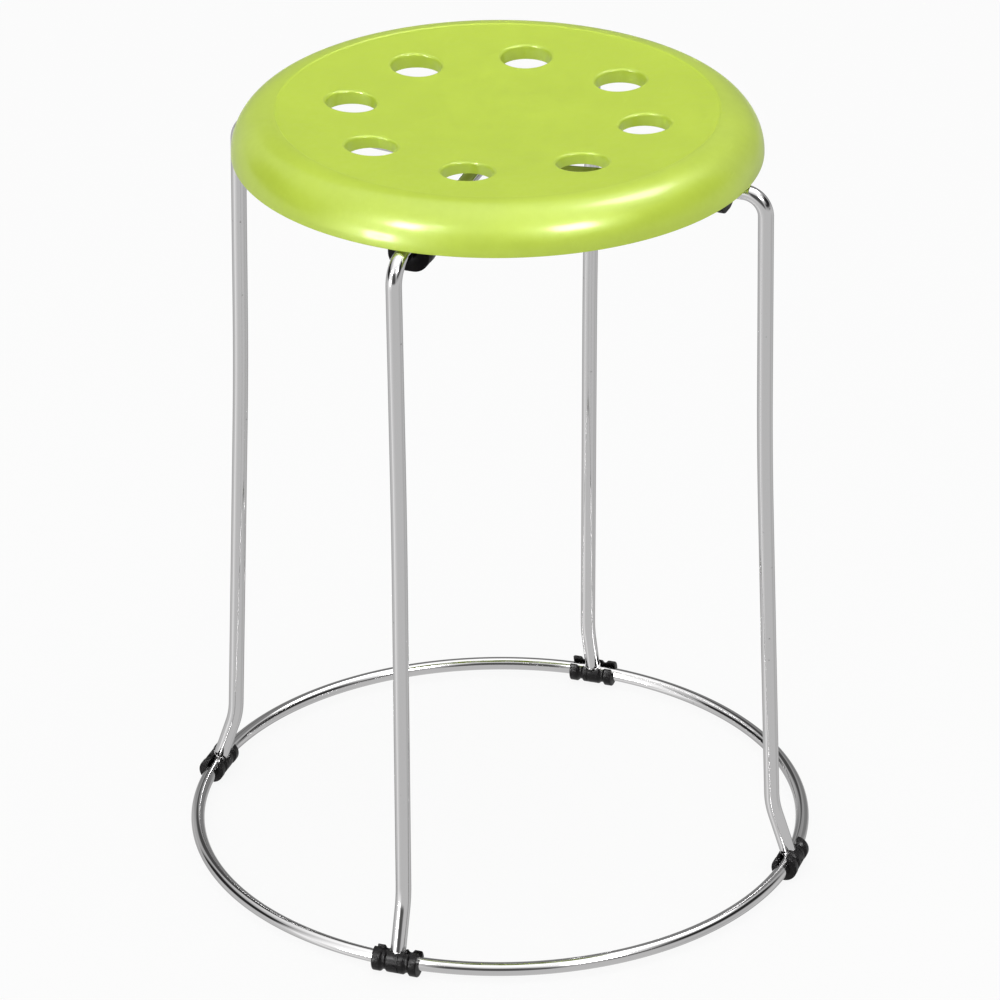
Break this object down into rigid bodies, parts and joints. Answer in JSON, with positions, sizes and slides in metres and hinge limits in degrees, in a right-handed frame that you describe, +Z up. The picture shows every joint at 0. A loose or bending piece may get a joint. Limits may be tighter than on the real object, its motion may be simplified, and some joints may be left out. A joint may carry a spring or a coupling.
{
  "type": "stool",
  "caption": "Stackable stool: round moulded plastic seat with finger holes on a crossed pair of bent wire legs, welded to a wire ring at the floor with push-fit foot clips.",
  "frame": {"origin": "on the floor, under the middle of the seat", "axes": "+Z up; the four feet stand on +X (right), -X (left), -Y (front) and +Y (back)"},
  "size_m": [0.3768, 0.3768, 0.462],
  "materials": {
    "seat_plastic": "moulded polypropylene, lime green, fine grain on the flat middle and gloss on the rim",
    "chrome_wire": "bright chrome plate on steel wire",
    "black_plastic": "satin black moulded plastic",
    "screw_steel": "zinc plated steel",
    "weld_metal": "weld metal under chrome plate, slightly rough"
  },
  "bodies": {
    "root": {"seat": "seat_plastic", "front_back_leg_wire": "chrome_wire", "left_right_leg_wire": "chrome_wire", "base_ring": "chrome_wire", "crossing_weld": "weld_metal", "foot_weld_front": "weld_metal", "foot_clip_front": "black_plastic", "seat_saddle_front": "black_plastic", "seat_screw_front_a": "screw_steel", "seat_screw_front_b": "screw_steel", "foot_weld_right": "weld_metal", "foot_clip_right": "black_plastic", "seat_saddle_right": "black_plastic", "seat_screw_right_a": "screw_steel", "seat_screw_right_b": "screw_steel", "foot_weld_back": "weld_metal", "foot_clip_back": "black_plastic", "seat_saddle_back": "black_plastic", "seat_screw_back_a": "screw_steel", "seat_screw_back_b": "screw_steel", "foot_weld_left": "weld_metal", "foot_clip_left": "black_plastic", "seat_saddle_left": "black_plastic", "seat_screw_left_a": "screw_steel", "seat_screw_left_b": "screw_steel"}
  },
  "joints": []
}
